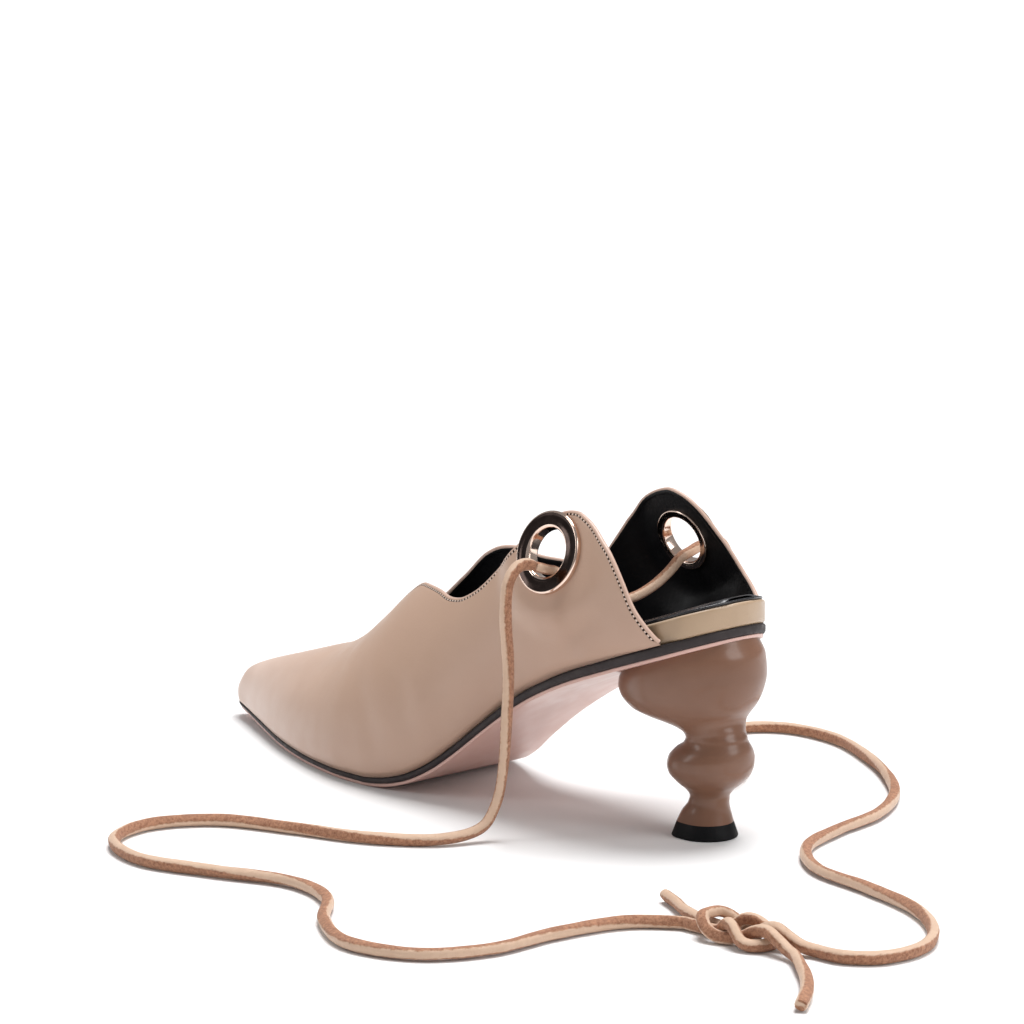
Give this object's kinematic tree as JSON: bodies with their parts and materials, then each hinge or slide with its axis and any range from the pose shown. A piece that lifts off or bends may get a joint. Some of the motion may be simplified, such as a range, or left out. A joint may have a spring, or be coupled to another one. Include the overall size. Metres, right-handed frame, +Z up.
{
  "type": "lace up heel",
  "caption": "Pointed open-back shoe on a turned bulb heel, with an eyelet on each ankle flap and a long leather lace tied in a reef knot.",
  "frame": {"origin": "middle of the flat spot of the forefoot tread, on the floor", "axes": "+X from the toe to the heel, +Y to the inner (medial) side of the foot, +Z up"},
  "size_m": [0.3874, 0.2952, 0.1054],
  "materials": {
    "upper": "smooth nude leather with a soft sheen",
    "footbed": "golden beige wrapped board, satin",
    "sock": "black lining, slight gloss",
    "edge_band": "charcoal sole edge, matt",
    "outsole": "pink nude underside, satin",
    "heel": "rosy brown satin lacquer",
    "top_piece": "black, matt",
    "eyelet": "polished rose gold",
    "lace": "tan cord, smooth face with suede sides"
  },
  "bodies": {
    "root": {"upper": "upper", "footbed": "footbed", "sock": "sock", "edge_band": "edge_band", "outsole": "outsole", "heel": "heel", "top_piece": "top_piece", "eyelet_lateral": "eyelet", "eyelet_medial": "eyelet", "lace_bar": "lace", "lace_lateral": "lace", "lace_medial": "lace", "lace_knot": "lace", "lace_tail_lateral": "lace", "lace_tail_medial": "lace"}
  },
  "joints": []
}
